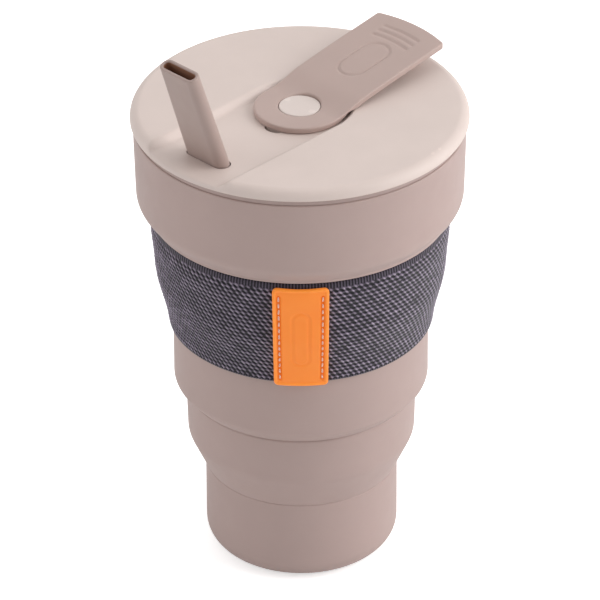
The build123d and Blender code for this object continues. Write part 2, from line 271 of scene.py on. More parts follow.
def pillow(name, loops, heights, edge_round, spacing, place, material, sharp=40):
    """A flat-bottomed or curved slab with rounded edges.

    loops: the outline anticlockwise, then any holes clockwise.
    heights(x, y): top and bottom of the slab before its edges are rounded.
    place(x, y, z): puts slab points in the row frame.
    """
    shares = [0.0, 0.04, 0.15, 0.33, 0.6, 1.0]
    points = []
    edges = []
    depth = []
    for loop in loops:
        for share in shares:
            ring = inset(loop, share * edge_round)
            first = len(points)
            count = len(ring)
            points += list(ring)
            edges += [(first + k, first + (k + 1) % count) for k in range(count)]
            depth += [share * edge_round] * count
    lowest, highest = loops[0].min(axis=0), loops[0].max(axis=0)
    columns = np.arange(lowest[0], highest[0], spacing)
    grid = []
    for number, y in enumerate(np.arange(lowest[1], highest[1], spacing * 0.866)):
        shift = spacing / 2 * (number % 2)
        grid += [(x + shift, y) for x in columns]
    grid = np.array(grid)
    keep = inside_loop(loops[0], grid)
    for hole in loops[1:]:
        keep &= ~inside_loop(hole, grid)
    grid = grid[keep]
    away = np.min([loop_distance(loop, grid) for loop in loops], axis=0)
    grid = grid[away > edge_round + spacing * 0.45]
    points += list(grid)
    depth += [edge_round] * len(grid)
    made = delaunay_2d_cdt([Vector(p) for p in points], edges, [], 0, 1e-8)
    flat = np.array([tuple(v) for v in made[0]])
    depth = np.array([depth[source[0]] if source else 0.0 for source in made[3]])
    triangles = np.array(made[2])
    middles = flat[triangles].mean(axis=1)
    keep = inside_loop(loops[0], middles)
    for hole in loops[1:]:
        keep &= ~inside_loop(hole, middles)
    triangles = triangles[keep]
    used = np.unique(triangles)
    number = np.full(len(flat), -1)
    number[used] = np.arange(len(used))
    flat, depth, triangles = flat[used], depth[used], number[triangles]
    x, y = flat[:, 0], flat[:, 1]
    top, bottom = heights(x, y)
    drop = edge_round * (1 - np.sqrt(1 - (1 - np.clip(depth / edge_round, 0, 1)) ** 2))
    upper = place(x, y, top - drop)
    lower = place(x, y, bottom + drop)
    count = len(flat)
    faces = [tuple(t) for t in triangles.tolist()]
    sides = {}
    for a, b, c in faces:
        for edge in ((a, b), (b, c), (c, a)):
            sides[edge] = True
    walls = [(a, a + count, b + count, b) for a, b in sides if (b, a) not in sides]
    faces += [(a + count, c + count, b + count) for a, b, c in triangles.tolist()]
    piece = make_piece(name, np.vstack([upper, lower]), faces + walls, material, sharp)
    return piece, flat


def prism(name, low_loop, high_loop):
    """A closed block between two matching loops, for cutting holes."""
    count = len(low_loop)
    points = np.vstack([low_loop, high_loop])
    faces = [tuple(range(count))[::-1], tuple(range(count, 2 * count))]
    for k in range(count):
        m = (k + 1) % count
        faces.append((k, m, count + m, count + k))
    mesh = bpy.data.meshes.new(name)
    mesh.from_pydata(points.tolist(), [], faces)
    mesh.update()
    return bpy.data.objects.new(name, mesh)


def cut(piece, cutters):
    """Take the cutters away from a piece, and remove them."""
    for cutter in cutters:
        bpy.context.scene.collection.objects.link(cutter)
        boolean = piece.modifiers.new("cut", "BOOLEAN")
        boolean.operation = "DIFFERENCE"
        boolean.solver = "EXACT"
        boolean.object = cutter
    bpy.context.view_layer.update()
    solid = piece.evaluated_get(bpy.context.evaluated_depsgraph_get())
    mesh = bpy.data.meshes.new_from_object(solid)
    piece.modifiers.clear()
    piece.data = mesh
    mesh.set_sharp_from_angle(angle=math.radians(32))
    for cutter in cutters:
        bpy.data.objects.remove(cutter, do_unlink=True)


def obround(length, width, steps=20):
    """A slot-shaped loop, anticlockwise, its length along x."""
    radius = width / 2
    run = length / 2 - radius
    loop = []
    for side, start in ((1, -90), (-1, 90)):
        for step in range(steps + 1):
            angle = math.radians(start + 180 * step / steps)
            loop.append((side * run + radius * math.cos(angle), radius * math.sin(angle)))
    return np.array(loop)


# ---- materials ----
def node_tree(name):
    """A new material with its principled shader."""
    material = bpy.data.materials.new(name)
    material.use_nodes = True
    return material, material.node_tree, material.node_tree.nodes["Principled BSDF"]


def noise(tree, scale, detail=3.0, roughness=0.55):
    """A noise texture in object space, its scale in features per metre."""
    place = tree.nodes.new("ShaderNodeTexCoord")
    texture = tree.nodes.new("ShaderNodeTexNoise")
    texture.inputs["Scale"].default_value = scale
    texture.inputs["Detail"].default_value = detail
    texture.inputs["Roughness"].default_value = roughness
    tree.links.new(place.outputs["Object"], texture.inputs["Vector"])
    return texture.outputs["Fac"]


def remap(tree, value, low_in, high_in, low_out, high_out):
    """Map a value's range onto another."""
    spread = tree.nodes.new("ShaderNodeMapRange")
    spread.inputs["From Min"].default_value = low_in
    spread.inputs["From Max"].default_value = high_in
    spread.inputs["To Min"].default_value = low_out
    spread.inputs["To Max"].default_value = high_out
    tree.links.new(value, spread.inputs["Value"])
    return spread.outputs["Result"]


def mixed(tree, share, first, second):
    """A colour between two, each a colour or a socket."""
    mix = tree.nodes.new("ShaderNodeMix")
    mix.data_type = "RGBA"
    for socket, value in ((mix.inputs["A"], first), (mix.inputs["B"], second)):
        if isinstance(value, tuple):
            socket.default_value = (*value, 1.0)
        else:
            tree.links.new(value, socket)
    tree.links.new(share, mix.inputs["Factor"])
    return mix.outputs["Result"]


def bump(tree, shader, height, strength, distance):
    """Raise the surface by a height, in metres."""
    relief = tree.nodes.new("ShaderNodeBump")
    relief.inputs["Strength"].default_value = strength
    relief.inputs["Distance"].default_value = distance
    tree.links.new(height, relief.inputs["Height"])
    tree.links.new(relief.outputs["Normal"], shader.inputs["Normal"])


def moulded(name, colour, roughness, grain=0.02, sheen=0.0, glow=0.0, rubbed_edge=0.5):
    """Moulded silicone or plastic: faint mottling, soft grain and edges rubbed a little paler."""
    material, tree, shader = node_tree(name)
    darker = tuple(c * 0.975 for c in colour)
    paler = tuple(min(1.0, c * 1.02) for c in colour)
    rubbed = tuple(min(1.0, c * 1.16) for c in colour)
    cloud = remap(tree, noise(tree, 55, 4), 0.3, 0.7, 0, 1)
    body = mixed(tree, cloud, darker, paler)
    shape = tree.nodes.new("ShaderNodeNewGeometry")
    edge = remap(tree, shape.outputs["Pointiness"], 0.52, 0.6, 0, rubbed_edge)
    tree.links.new(mixed(tree, edge, body, rubbed), shader.inputs["Base Color"])
    dull = remap(tree, noise(tree, 260, 4), 0.3, 0.7, roughness - 0.05, roughness + 0.06)
    tree.links.new(dull, shader.inputs["Roughness"])
    shader.inputs["Specular IOR Level"].default_value = 0.4
    shader.inputs["Sheen Weight"].default_value = sheen
    shader.inputs["Sheen Roughness"].default_value = 0.4
    shader.inputs["Subsurface Weight"].default_value = glow
    shader.inputs["Subsurface Radius"].default_value = (1.0, 0.7, 0.6)
    shader.inputs["Subsurface Scale"].default_value = 1.5 * MM
    bump(tree, shader, noise(tree, 3200, 2), grain, 0.1 * MM)
    return material


def paint_inside_shade(material, colour):
    """Paint shade, darker and warmer, where the mesh code marked the inside of a thin tube."""
    tree = material.node_tree
    shader = tree.nodes["Principled BSDF"]
    outside = shader.inputs["Base Color"].links[0].from_socket
    tone = mixed(tree, attribute_value(tree, "inside"), outside, colour)
    tree.links.new(tone, shader.inputs["Base Color"])


def attribute_value(tree, name):
    """A vertex number that the mesh code stored."""
    source = tree.nodes.new("ShaderNodeAttribute")
    source.attribute_name = name
    return source.outputs["Fac"]


def woven(name):
    """Coarse elastic weave: pale threads, near-black painted shade in the gaps, a painted highlight on
    the thread tops and a slight difference between threads.
    """
    material, tree, shader = node_tree(name)
    # Colour follows the relief: the near-black gap colour is painted shade between threads, the tip
    # colour a painted highlight on the highest threads.
    gap_shade = (0.008, 0.006, 0.011)
    thread = (0.225, 0.182, 0.255)
    tip = (0.56, 0.47, 0.60)
    relief = attribute_value(tree, "relief")
    body = mixed(tree, remap(tree, relief, 0.3, 0.68, 0, 1), gap_shade, thread)
    lit = mixed(tree, remap(tree, relief, 0.68, 1.0, 0, 1), body, tip)
    fibre = remap(tree, noise(tree, 4200, 3), 0.32, 0.68, 0.0, 0.5)
    tone = mixed(tree, fibre, lit, gap_shade)
    tree.links.new(tone, shader.inputs["Base Color"])
    shader.inputs["Roughness"].default_value = 0.82
    shader.inputs["Specular IOR Level"].default_value = 0.25
    shader.inputs["Sheen Weight"].default_value = 0.45
    shader.inputs["Sheen Roughness"].default_value = 0.5
    bump(tree, shader, noise(tree, 9000, 2), 0.35, 0.05 * MM)
    return material


def label_rubber(name):
    """Soft orange rubber with a painted glow from its emission, and painted shade, a deeper orange, in
    its grooves, pressed marks and recessed face.
    """
    material, tree, shader = node_tree(name)
    # deep: the painted shade colour for the grooves, the pressed obround and the recessed face.
    deep = (0.76, 0.13, 0.02)
    face = (0.93, 0.255, 0.04)
    bright = (0.97, 0.29, 0.05)
    cloud = remap(tree, noise(tree, 130, 3), 0.3, 0.7, 0, 1)
    body = mixed(tree, cloud, face, bright)
    sunk = remap(tree, attribute_value(tree, "sunk"), 0.05, 0.95, 0, 1)
    tree.links.new(mixed(tree, sunk, body, deep), shader.inputs["Base Color"])
    shader.inputs["Roughness"].default_value = 0.5
    shader.inputs["Specular IOR Level"].default_value = 0.4
    # Painted glow: this emission brightens the whole label as extra light would.
    shader.inputs["Emission Color"].default_value = (1.0, 0.33, 0.0, 1)
    shader.inputs["Emission Strength"].default_value = 0.19
    shader.inputs["Subsurface Weight"].default_value = 0.08
    shader.inputs["Subsurface Radius"].default_value = (1.0, 0.4, 0.1)
    shader.inputs["Subsurface Scale"].default_value = 1.0 * MM
    bump(tree, shader, noise(tree, 2600, 2), 0.04, 0.1 * MM)
    return material


def sewing_thread(name):
    """Pale twisted thread."""
    material, tree, shader = node_tree(name)
    place = tree.nodes.new("ShaderNodeTexCoord")
    twist = tree.nodes.new("ShaderNodeTexWave")
    twist.wave_type = "BANDS"
    twist.bands_direction = "DIAGONAL"
    twist.inputs["Scale"].default_value = 900
    twist.inputs["Distortion"].default_value = 1.5
    tree.links.new(place.outputs["Object"], twist.inputs["Vector"])
    tone = mixed(tree, twist.outputs["Fac"], (0.78, 0.42, 0.30), (0.92, 0.64, 0.52))
    tree.links.new(tone, shader.inputs["Base Color"])
    shader.inputs["Roughness"].default_value = 0.7
    shader.inputs["Sheen Weight"].default_value = 0.3
    bump(tree, shader, twist.outputs["Fac"], 0.5, 0.06 * MM)
    return material


silicone = moulded(
    "cup_silicone", (0.46, 0.343, 0.317), 0.52, grain=0.03, sheen=0.08, glow=0.05, rubbed_edge=0)
collar_plastic = moulded("collar_plastic", (0.44, 0.33, 0.305), 0.45)
lid_plastic = moulded("lid_plastic", (0.70, 0.59, 0.545), 0.42, grain=0.05)
button_plastic = moulded("button_plastic", (0.71, 0.615, 0.575), 0.4, grain=0.04)
clip_plastic = moulded("clip_plastic", (0.74, 0.72, 0.68), 0.4)
seal_silicone = moulded("seal_silicone", (0.55, 0.45, 0.41), 0.5, sheen=0.1)
strap_silicone = moulded("strap_silicone", (0.49, 0.37, 0.335), 0.55, grain=0.04, sheen=0.1, glow=0.05)
straw_silicone = moulded("straw_silicone", (0.41, 0.31, 0.28), 0.5, grain=0.03, sheen=0.1, glow=0.08)
# Painted shade: the straw's inside is drawn darker and warmer than its outside.
paint_inside_shade(straw_silicone, (0.34, 0.17, 0.105))
sleeve_weave = woven("sleeve_weave")
orange_rubber = label_rubber("orange_rubber")
pale_thread = sewing_thread("pale_thread")


# ---- silicone cup: one moulding, built in four stretches that each hold one web ----
def cup_outside():
    """The cup's outer line from the foot to the rim."""
    base_r = reach("base_cup")
    base_top = high("base_cup")
    lower_r = reach("lower_ring")
    lower_top = high("lower_ring")
    middle_r = reach("middle_ring")
    middle_top = high("middle_ring")
    upper_low_r = reach("fold_web_3")
    upper_low = low("upper_ring")
    ledge_r = reach("upper_ring")
    ledge_top = high("upper_ring")
    neck_r = ledge_r - 2.15 * MM
    rim_low_r = reach("fold_web_4")
    rim_r = reach("rim_band")
    rim_top = high("rim_band")
    corners = [
        (base_r - BASE_CORNER, 0, 0),
        (base_r, 0, 6.6 * MM),
        (base_r, base_top - 0.35 * MM, 0.1 * MM),
        (base_r - CREASE / 2, base_top, 0.1 * MM),
        (base_r + CREASE / 2, base_top + 0.4 * MM, 0.1 * MM),
        (lower_r - 0.35 * MM, base_top + 11.1 * MM, 6.0 * MM),
        (lower_r, lower_top - 0.6 * MM, 0.2 * MM),
        (lower_r - CREASE, lower_top, 0.12 * MM),
        (lower_r + CREASE, lower_top + 0.25 * MM, 0.15 * MM),
        (middle_r, lower_top + 3.7 * MM, 2.6 * MM),
        (middle_r, middle_top, 3.0 * MM),
        (upper_low_r, upper_low - 0.8 * MM, 3.0 * MM),
        (neck_r, ledge_top - 1.3 * MM, 0.4 * MM),
        (ledge_r, ledge_top - 0.9 * MM, 0.35 * MM),
        (ledge_r, ledge_top - 0.1 * MM, 0.3 * MM),
        (rim_low_r, ledge_top + 4.0 * MM, 4.6 * MM),
        (rim_r, rim_top, 0.45 * MM),
        (rim_r - 1.1 * MM, rim_top, 0),
    ]
    return closer(rounded(corners), 0.6 * MM)


def cup_stretches():
    """Four closed pieces: each holds one web and the stiff steps on its two sides."""
    outer = cup_outside()
    rim_top = high("rim_band")
    body_line = outer[: int(np.argmax(outer[:, 1])) + 1]
    foot = closer(rounded([
        (0, 0.8 * MM, 0),
        (18.5 * MM, 0.8 * MM, 0.6 * MM),
        (19.3 * MM, 0, 0.5 * MM),
        (reach("base_cup") - BASE_CORNER, 0, 0),
    ]), 1.5 * MM)
    inner_base = closer(rounded([
        (reach("base_cup") - WALL, INNER_BASE_TOP, 0),
        (reach("base_cup") - WALL, FLOOR_TOP, 5.0 * MM),
        (0, FLOOR_TOP, 0),
    ]), 1.2 * MM)
    pocket_r = reach("rim_band") - 1.2 * MM
    pocket_low = low("mouth_collar")
    stations = [
        (None, SEAM_LOW, "base", "lower_ring", low("fold_web_1"), high("fold_web_1"),
         "cup_base_stretch", ("base_cup", "fold_web_1", "lower_ring")),
        (SEAM_LOW, SEAM_MIDDLE, "lower_ring", "middle_ring", low("fold_web_2"), high("fold_web_2"),
         "cup_lower_stretch", ("lower_ring", "fold_web_2", "middle_ring")),
        (SEAM_MIDDLE, SEAM_HIGH, "middle_ring", "upper_ring", low("fold_web_3"), high("fold_web_3"),
         "cup_middle_stretch", ("middle_ring", "fold_web_3", "upper_ring")),
        (SEAM_HIGH, rim_top, "upper_ring", "rim", high("fold_web_4") - ROLL, high("fold_web_4"),
         "cup_upper_stretch", ("upper_ring", "fold_web_4", "rim_band")),
    ]
    for start, end, under, over, fold_low, fold_high, name, nodes in stations:
        first = INNER_BASE_TOP if start is None else start
        last = pocket_low if end == rim_top else end
        wall = between(body_line, first, last)
        thin = WEB_THINNING * ease((wall[:, 1] - high("upper_ring") + 1.5 * MM) / (1.5 * MM))
        thin = thin * (1 - ease((wall[:, 1] - high("fold_web_4") - 0.5 * MM) / (2.5 * MM)))
        inner = np.column_stack([wall[:, 0] - WALL + thin, wall[:, 1]])[::-1]
        if start is None:
            outside = np.vstack([foot[:-1], between_base(body_line, end)])
            profile = np.vstack([outside, inner[:-1], inner_base])
        elif end == rim_top:
            outside = np.vstack([between(body_line, start, pocket_low), outer[outer[:, 1] > pocket_low]])
            pocket_heights = (rim_top, pocket_low + 4 * MM, pocket_low)
            pocket = np.array([[pocket_r, height] for height in pocket_heights])
            profile = np.vstack([outside, pocket, inner])
        else:
            profile = np.vstack([wall, inner])
        piece = lathe(name, profile, silicone, closed=start is not None, sharp=50)
        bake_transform(piece)
        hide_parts(*nodes)


def between_base(line, end):
    """The outer line from the foot's corner up to a height."""
    inside = line[line[:, 1] < end - 0.01 * MM]
    last = [[np.interp(end, line[:, 1], line[:, 0]), end]]
    return np.vstack([inside, last])


# ---- collar and lid ----
def mouth_collar():
    """The stiff ring in the mouth, with the lip that shows under the lid."""
    inner = reach("mouth_collar") - 1.6 * MM
    skirt = inner + 0.8 * MM
    lip = reach("mouth_collar")
    bottom = low("mouth_collar")
    step = high("rim_band")
    top = high("mouth_collar")
    profile = closer(rounded([
        (inner, bottom, 0),
        (skirt, bottom, 0),
        (skirt, step, 0),
        (lip, step, 0.25 * MM),
        (lip, top, 0.3 * MM),
        (inner, top, 0.3 * MM),
    ], 15), 2 * MM)
    piece = lathe("mouth_collar_ring", profile, collar_plastic)
    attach(piece, "rim")
    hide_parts("mouth_collar")


def channel_share(x, y):
    """1 on the channel's floor, 0 on the lid's flat top, and a soft wall between them."""
    away = -np.array(joints["straw_slide"]["axis"][:2])
    away = -away / np.linalg.norm(away)
    along = x * away[0] + y * away[1]
    across = x * away[1] - y * away[0]
    out = np.where(along > 0, np.abs(across), np.hypot(along, across))
    return 1 - ease((out - CHANNEL_FLOOR_HALF) / CHANNEL_WALL)


@lru_cache(maxsize=None)
def straw_frame():
    """The straw's axis where it crosses the channel's floor, its directions and its two ends."""
    up = np.array(joints["straw_slide"]["axis"], float)
    up /= np.linalg.norm(up)
    flat = up[:2] / np.linalg.norm(up[:2])
    across = np.array([-flat[1], flat[0], 0.0])
    side = np.cross(up, across)
    points = np.array([tuple(v.co) for v in frame["nodes"]["straw"].data.vertices])
    along, wide, deep = points @ up, points @ across, points @ side
    origin = across * (wide.min() + wide.max()) / 2
    foot = along < along.min() + 0.1 * MM
    origin = origin + side * (deep[foot].min() + deep[foot].max()) / 2
    floor = (high("lid") - CHANNEL_DEPTH - origin[2]) / up[2]
    origin = origin + up * floor
    return origin, up, across, side, along.min() - floor, along.max() - floor


def straw_hole():
    """The slot through the lid, along the straw's own leaning axis."""
    origin, up, across, side = straw_frame()[:4]
    loop = obround(STRAW_LONG + 0.8 * MM, STRAW_SHORT + 0.3 * MM)
    ring = origin + loop[:, :1] * across + loop[:, 1:] * side
    return prism("straw_hole", ring - up * 9 * MM, ring + up * 9 * MM)


def crescent(name, inner, depth, middle, half, bottom, top):
    """A short crescent-shaped slot about the pivot, deepest in its middle."""
    share = np.linspace(-1, 1, 17)
    angles = np.radians(middle + half * share)
    far = inner + depth * np.sqrt(1 - share ** 2)
    out = np.column_stack([far * np.cos(angles), far * np.sin(angles)])
    back = np.column_stack([inner * np.cos(angles), inner * np.sin(angles)])[::-1]
    loop = np.vstack([out, back[1:-1]])
    low_loop = np.column_stack([loop, np.full(len(loop), bottom)])
    high_loop = np.column_stack([loop, np.full(len(loop), top)])
    return prism(name, low_loop, high_loop)


def lid():
    """The lid with its plug, seal groove, channel, straw hole, vent and pivot hole."""
    top = high("lid")
    lid_r = reach("lid")
    under = low("lid_seal") + 5.2 * MM
    plate_under = top - 3.8 * MM
    plug_r = reach("lid_seal") - PLUG_INSET
    plug_low = low("lid")
    groove_low = low("lid_seal")
    groove_top = high("lid_seal")
    corners = [
        (0, plate_under, 0),
        (plug_r - 2 * MM, plate_under, 1.0 * MM),
        (plug_r - 2 * MM, plug_low, 0.5 * MM),
        (plug_r, plug_low, 0.6 * MM),
        (plug_r, groove_low, 0.15 * MM),
        (plug_r - 1 * MM, groove_low, 0),
        (plug_r - 1 * MM, groove_top, 0),
        (plug_r, groove_top, 0.15 * MM),
        (plug_r, under, 0.3 * MM),
        (lid_r, under, 0.25 * MM),
        (lid_r, top, LID_EDGE_ROUND),
        (0, top, 0),
    ]
    line = rounded(corners, 5)
    head = line[:-1]
    fine = closer(line[-2:], 0.42 * MM)
    profile = np.vstack([closer(head, 2.5 * MM), fine[1:]])
    piece = lathe("lid_shell", profile, lid_plastic, LID_SEGMENTS, closed=False)
    count = len(piece.data.vertices)
    flat = np.empty(count * 3)
    piece.data.vertices.foreach_get("co", flat)
    points = flat.reshape(-1, 3)
    radius = np.hypot(points[:, 0], points[:, 1])
    over = np.clip(radius - (lid_r - FLOOR_EDGE_ROUND), 0, FLOOR_EDGE_ROUND)
    round_drop = FLOOR_EDGE_ROUND - np.sqrt(FLOOR_EDGE_ROUND ** 2 - over ** 2)
    floor = top - CHANNEL_DEPTH - round_drop
    above = np.clip(points[:, 2] - floor, 0, None)
    above[points[:, 2] < under + 0.5 * MM] = 0
    points[:, 2] -= above * channel_share(points[:, 0], points[:, 1])
    piece.data.vertices.foreach_set("co", points.ravel())
    piece.data.update()
    turn = np.radians(np.arange(0, 360, 6))
    ring = np.column_stack([POST_R * np.cos(turn), POST_R * np.sin(turn)])
    down = np.full((len(ring), 1), plate_under - 2 * MM)
    post_hole = prism("post_hole", np.hstack([ring, down]), np.hstack([ring, down + 9 * MM]))
    vent = crescent("vent", VENT_INNER_R, VENT_DEPTH, VENT_AZIMUTH, VENT_HALF_ANGLE,
                    plate_under - 2 * MM, top)
    cut(piece, [straw_hole(), vent, post_hole])
    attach(piece, "lid")
    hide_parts("lid")


def lid_seal():
    """The soft ring with two lips in the plug's groove."""
    bottom = low("lid_seal")
    top = high("lid_seal")
    lip = reach("lid_seal")
    wall = lip - PLUG_INSET
    back = wall - 1 * MM
    profile = closer(rounded([
        (back, bottom, 0),
        (wall, bottom, 0.1 * MM),
        (lip, bottom + 0.5 * MM, 0.2 * MM),
        (wall, bottom + 1.0 * MM, 0.2 * MM),
        (wall, top - 1.0 * MM, 0.2 * MM),
        (lip, top - 0.5 * MM, 0.2 * MM),
        (wall, top, 0.1 * MM),
        (back, top, 0),
    ], 15), 1 * MM)
    piece = lathe("lid_seal_ring", profile, seal_silicone)
    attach(piece, "lid")
    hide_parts("lid_seal")


# ---- pivot and strap ----
def pivot_button():
    """The button's domed head and its grooved post."""
    top = high("pivot_button")
    bottom = low("pivot_button")
    head_r = reach("pivot_button")
    seat = top - 1.0 * MM
    groove_low = low("pivot_clip")
    groove_top = high("pivot_clip")
    profile = closer(rounded([
        (0, bottom, 0),
        (POST_R, bottom, 0.4 * MM),
        (POST_R, groove_low, 0),
        (POST_R - 0.6 * MM, groove_low, 0),
        (POST_R - 0.6 * MM, groove_top, 0),
        (POST_R, groove_top, 0),
        (POST_R, seat, 0),
        (head_r, seat, 0.1 * MM),
        (head_r, top, 0.35 * MM),
        (head_r - 1.0 * MM, top + 0.02 * MM, 0.3 * MM),
        (0, top + 0.06 * MM, 0),
    ], 12), 0.8 * MM)
    piece = lathe("pivot_button_cap", profile, button_plastic, 96, closed=False)
    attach(piece, "lid")
    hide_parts("pivot_button")


def strap_rise(distance):
    """Height of the strap's top above the hub, at a distance along the strap."""
    bend_start, bend_end, far = 1.4 * MM, 12.5 * MM, 52.5 * MM
    bend_rise, far_rise = 2.6 * MM, 8.3 * MM
    bend_slope, far_slope = 0.17, 0.147

    def curve(share, run, y1, y2, m1, m2):
        a = 2 * share ** 3 - 3 * share ** 2 + 1
        b = share ** 3 - 2 * share ** 2 + share
        c = 3 * share ** 2 - 2 * share ** 3
        d = share ** 3 - share ** 2
        return a * y1 + c * y2 + (b * m1 + d * m2) * run

    near = np.clip((distance - bend_start) / (bend_end - bend_start), 0, 1)
    bent = curve(near, bend_end - bend_start, 0, bend_rise, 0, bend_slope)
    share = np.clip((distance - bend_end) / (far - bend_end), 0, 1)
    straight = curve(share, far - bend_end, bend_rise, far_rise, bend_slope, far_slope)
    return np.where(distance < bend_end, bent, straight)


def strap_outline():
    """Plan view, anticlockwise, with the strap along +x: round hub, straight sides, bowed end."""
    turns = np.radians(np.arange(0, 181, 3))
    hub = [(-STRAP_HALF * math.sin(a), STRAP_HALF * math.cos(a)) for a in turns]
    half = math.asin(STRAP_HALF / STRAP_END_R)
    sweep = np.linspace(-half, half, 25)
    arc = [(STRAP_END_R * math.cos(a), STRAP_END_R * math.sin(a)) for a in sweep]
    corners = [(x, y, 0) for x, y in hub] + [(x, y, 0) for x, y in arc]
    corners[len(hub)] = (*arc[0], STRAP_CORNER_ROUND)
    corners[-1] = (*arc[-1], STRAP_CORNER_ROUND)
    del corners[len(hub) + 1], corners[-2]
    loop = rounded(corners, 12)
    return closer(np.vstack([loop, loop[:1]]), 0.6 * MM)[:-1]


def obround_line(x, y, middle, length, width):
    """Distance from the line of an obround that lies along x."""
    run = length / 2 - width / 2
    nearest = np.clip(x - middle, -run, run)
    return np.abs(np.hypot(x - middle - nearest, y) - width / 2)


def strap_pressed(x, y):
    """Depth, 0 to 1, of the strap's pressed marks: a plain obround and three grip lines."""
    sunk = 1 - ease((obround_line(x, y, 26 * MM, 17 * MM, 9 * MM) - 0.2 * MM) / (0.35 * MM))
    for place in (37.2 * MM, 39.6 * MM, 42.0 * MM):
        bow = np.sqrt(place ** 2 - y ** 2)
        off = np.hypot(x - bow, np.clip(np.abs(y) - 6.5 * MM, 0, None))
        sunk = np.maximum(sunk, 1 - ease((off - 0.3 * MM) / (0.4 * MM)))
    return sunk


def swung(swing):
    """A function that turns strap points, drawn along +x, to the strap's direction."""
    def place(x, y, z):
        return np.column_stack([
            x * math.cos(swing) - y * math.sin(swing), x * math.sin(swing) + y * math.cos(swing), z])
    return place


def strap():
    """The round hub and its arm, one moulding that bends where the arm leaves the hub."""
    hub_top = high("pivot_button")
    flat_top = high("lid")
    seat_r = reach("pivot_button") + 0.14 * MM
    flex = joints["strap_flex"]
    swing = math.atan2(flex["pos_m"][1], flex["pos_m"][0])
    turns = np.radians(np.arange(360, 0, -5))
    circle = [(seat_r * math.cos(a), seat_r * math.sin(a)) for a in turns]

    def heights(x, y):
        top = hub_top + strap_rise(x)
        bottom = top - STRAP_THICK
        wall = np.clip((np.hypot(x, y) - 13.05 * MM) / (1.4 * MM), 0, 1)
        lid_here = flat_top - CHANNEL_DEPTH * (1 - wall) + 0.1 * MM
        bottom = np.maximum(bottom, np.minimum(lid_here, top - 0.5 * MM))
        top = top - 0.32 * MM * strap_pressed(x, y)
        return top, bottom

    loops = [strap_outline(), np.array(circle)]
    piece, flat = pillow("strap_band", loops, heights, STRAP_EDGE_ROUND, 0.42 * MM,
                         swung(swing), strap_silicone)
    mark(piece, "sunk", np.tile(strap_pressed(flat[:, 0], flat[:, 1]), 2))
    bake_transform(piece)
    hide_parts("strap_hub", "strap_arm")
    strap_stopper(swing, flat_top)
    strap_seat(seat_r, hub_top)


def strap_seat(seat_r, hub_top):
    """The thin floor of silicone inside the hub that the button's head presses on."""
    floor = hub_top - 1.08 * MM
    profile = closer(rounded([
        (3.1 * MM, hub_top - STRAP_THICK, 0.1 * MM),
        (seat_r + 0.5 * MM, hub_top - STRAP_THICK + 0.05 * MM, 0),
        (seat_r + 0.5 * MM, floor, 0),
        (3.1 * MM, floor, 0.1 * MM),
    ], 20), 1.0 * MM)
    piece = lathe("strap_button_seat", profile, strap_silicone, 96)
    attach(piece, "strap")


def strap_stopper(swing, flat_top):
    """The flat plug under the arm that fills the straw's hole when the strap is swung round."""
    reach_out = math.hypot(*straw_frame()[0][:2])
    bottom = flat_top + 0.12 * MM

    def heights(x, y):
        top = flat_top + strap_rise(x) - STRAP_THICK + 0.4 * MM
        return top, np.full_like(x, bottom)

    slot = obround(14.0 * MM, 4.6 * MM)
    loop = np.column_stack([-slot[:, 1] + reach_out, slot[:, 0]])
    piece, _ = pillow("strap_stopper_plug", [loop], heights, 0.5 * MM, 0.6 * MM,
                      swung(swing), strap_silicone)
    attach(piece, "strap_arm")


# ---- straw ----
def straw():
    """A flat tube, a little narrower at its tip, cut off square at both ends."""
    origin, up, across, side, foot, tip = straw_frame()
    outer = obround(STRAW_LONG, STRAW_SHORT, 24)
    edge = STRAW_RIM_ROUND

    def ring(length, shrink):
        """A ring at a length along the straw, drawn in from the outside by shrink."""
        taper = np.clip((length - STRAW_TAPER_START) / (tip - STRAW_TAPER_START), 0, 1)
        scale = 1 - (1 - STRAW_TIP_SCALE) * taper
        loop = inset(outer * scale, shrink)
        return origin + up * length + loop[:, :1] * across + loop[:, 1:] * side

    lengths = np.concatenate([np.linspace(foot, 0, 50)[1:], np.linspace(0, tip - edge, 30)[1:]])
    rows = [ring(foot, 0.15 * MM), ring(foot + 0.15 * MM, 0)]
    rows += [ring(length, 0) for length in lengths]
    arc = [math.radians(angle) for angle in range(15, 91, 15)]
    rows += [ring(tip - edge * (1 - math.sin(a)), edge * (1 - math.cos(a))) for a in arc]
    for a in arc[::-1]:
        rows.append(ring(tip - edge * (1 - math.sin(a)), STRAW_WALL - edge * (1 - math.cos(a))))
    rows += [ring(length, STRAW_WALL) for length in lengths[::-1]]
    rows += [ring(foot + 0.15 * MM, STRAW_WALL), ring(foot, STRAW_WALL - 0.15 * MM)]
    count = len(outer)
    faces = []
    for row in range(len(rows)):
        over = (row + 1) % len(rows)
        for k in range(count):
            m = (k + 1) % count
            faces.append((row * count + k, row * count + m, over * count + m, over * count + k))
    piece = make_piece("straw_tube", np.vstack(rows), faces, straw_silicone, 50)
    outer_rows = 2 + len(lengths) + 2 * len(arc)
    mark(piece, "inside", np.repeat([float(row >= outer_rows) for row in range(len(rows))], count))
    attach(piece, "straw")
    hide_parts("straw")


# ---- sleeve and label ----
def outward_line(node):
    """Heights and radii of the outward-facing side of a turned node."""
    mesh = frame["nodes"][node].data
    seen = set()
    for face in mesh.polygons:
        out = face.center.xy.length
        if face.normal.xy.dot(face.center.xy) > 0.5 * out:
            seen.update(face.vertices)
    line = sorted((round(mesh.vertices[k].co.z, 6), mesh.vertices[k].co.xy.length) for k in seen)
    return np.array(line)


SLEEVE_LINE = outward_line("elastic_sleeve")


def sleeve_radius(height):
    """The sleeve's outer radius at a height, read off the CAD sleeve."""
    return np.interp(height, SLEEVE_LINE[:, 0], SLEEVE_LINE[:, 1])


